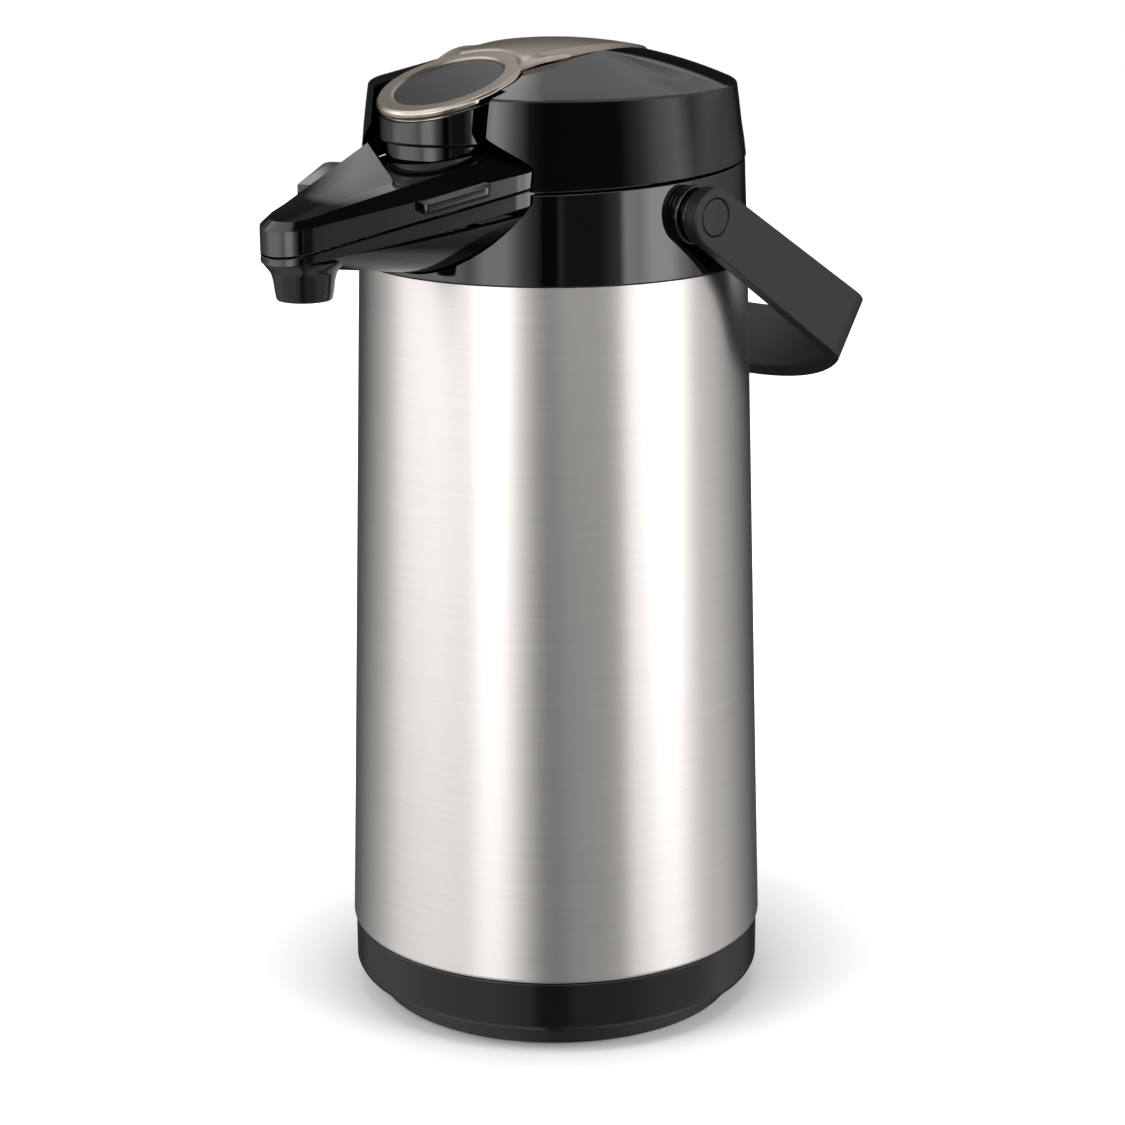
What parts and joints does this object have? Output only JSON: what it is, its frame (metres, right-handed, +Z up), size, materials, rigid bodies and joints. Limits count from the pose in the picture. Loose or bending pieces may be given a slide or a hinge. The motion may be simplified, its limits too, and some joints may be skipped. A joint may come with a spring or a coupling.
{
  "type": "lever airpot",
  "caption": "Steel lever-action airpot of about 2.2 litres with a black hinged lid, a pouring spout, a carrying handle and a turning foot.",
  "frame": {"origin": "middle of the foot's rest face on the table", "axes": "+Z up the jug's axis, -Y towards the spout, +X along the carrying handle's pivot line"},
  "size_m": [0.1706, 0.2603, 0.3829],
  "materials": {
    "jacket": "brushed",
    "black_gloss": "glossy",
    "black_matte": "matt",
    "handle_black": "fine texture",
    "rubber": "matt",
    "flask": "drawn",
    "seal": "smooth silicone",
    "tube": "smooth",
    "pin": "bright",
    "champagne": "satin",
    "badge": "satin"
  },
  "bodies": {
    "jug": {"steel_jacket": "jacket", "base_band": "black_gloss", "flask_cushion": "rubber", "flask_outer_wall": "flask", "flask_inner_wall": "flask", "neck_gasket": "seal", "collar": "black_gloss", "filling_funnel": "black_matte", "lower_spout_cover": "black_gloss", "nozzle": "black_gloss", "discharge_tube": "tube", "riser_tube": "tube", "tube_holder": "black_matte", "tube_grommet": "seal", "pivot_bushes": "black_matte", "handle_pins": "black_matte", "hinge_pin": "pin"},
    "foot": {"swivel_foot": "black_matte", "foot_pad_ring": "rubber", "hub_clip": "pin"},
    "handle": {"handle": "handle_black"},
    "lid": {"lid_shell": "black_gloss", "upper_spout_cover": "black_gloss", "pump_housing": "black_matte", "seal_ring": "seal", "air_valve": "seal", "lever_pin": "pin", "bellows": "seal", "return_spring": "pin"},
    "lever": {"lever_plate": "champagne", "lever_arm": "black_matte", "badge_disc": "badge", "lever_skirt": "black_gloss"},
    "pump": {"pump_plate": "black_matte"},
    "latch_left": {"latch_tab_left": "black_gloss"},
    "latch_right": {"latch_tab_right": "black_gloss"}
  },
  "joints": [
    {"name": "foot_turn", "type": "hinge", "parent": "jug", "child": "foot", "pos_m": [0, 0, 0.008], "axis": [0, 0, 1], "continuous": true},
    {"name": "handle_swing", "type": "hinge", "parent": "jug", "child": "handle", "pos_m": [0, 0, 0.3231], "axis": [1, 0, 0], "range_deg": [0, 180]},
    {"name": "lid_open", "type": "hinge", "parent": "jug", "child": "lid", "pos_m": [0, 0.0785, 0.34], "axis": [-1, 0, 0], "range_deg": [0, 95]},
    {"name": "lever_press", "type": "hinge", "parent": "lid", "child": "lever", "pos_m": [0, 0.05, 0.3683], "axis": [1, 0, 0], "range_deg": [0, 8.5], "stiffness_Nm_per_rad": 20, "springref_deg": -8.59},
    {"name": "pump_stroke", "type": "slide", "parent": "lid", "child": "pump", "axis": [0, 0, -1], "range_m": [0, 0.0075], "deforming": ["bellows", "return_spring"]},
    {"name": "latch_left_press", "type": "slide", "parent": "lid", "child": "latch_left", "axis": [0.915, 0.4035, 0], "range_m": [0, 0.0022], "stiffness_N_per_m": 800, "springref_m": -0.002},
    {"name": "latch_right_press", "type": "slide", "parent": "lid", "child": "latch_right", "axis": [-0.915, 0.4035, 0], "range_m": [0, 0.0022], "stiffness_N_per_m": 800, "springref_m": -0.002}
  ],
  "couplings": [
    {"joint": "pump_stroke", "follows": "lever_press", "m_per_rad": 0.0495}
  ]
}
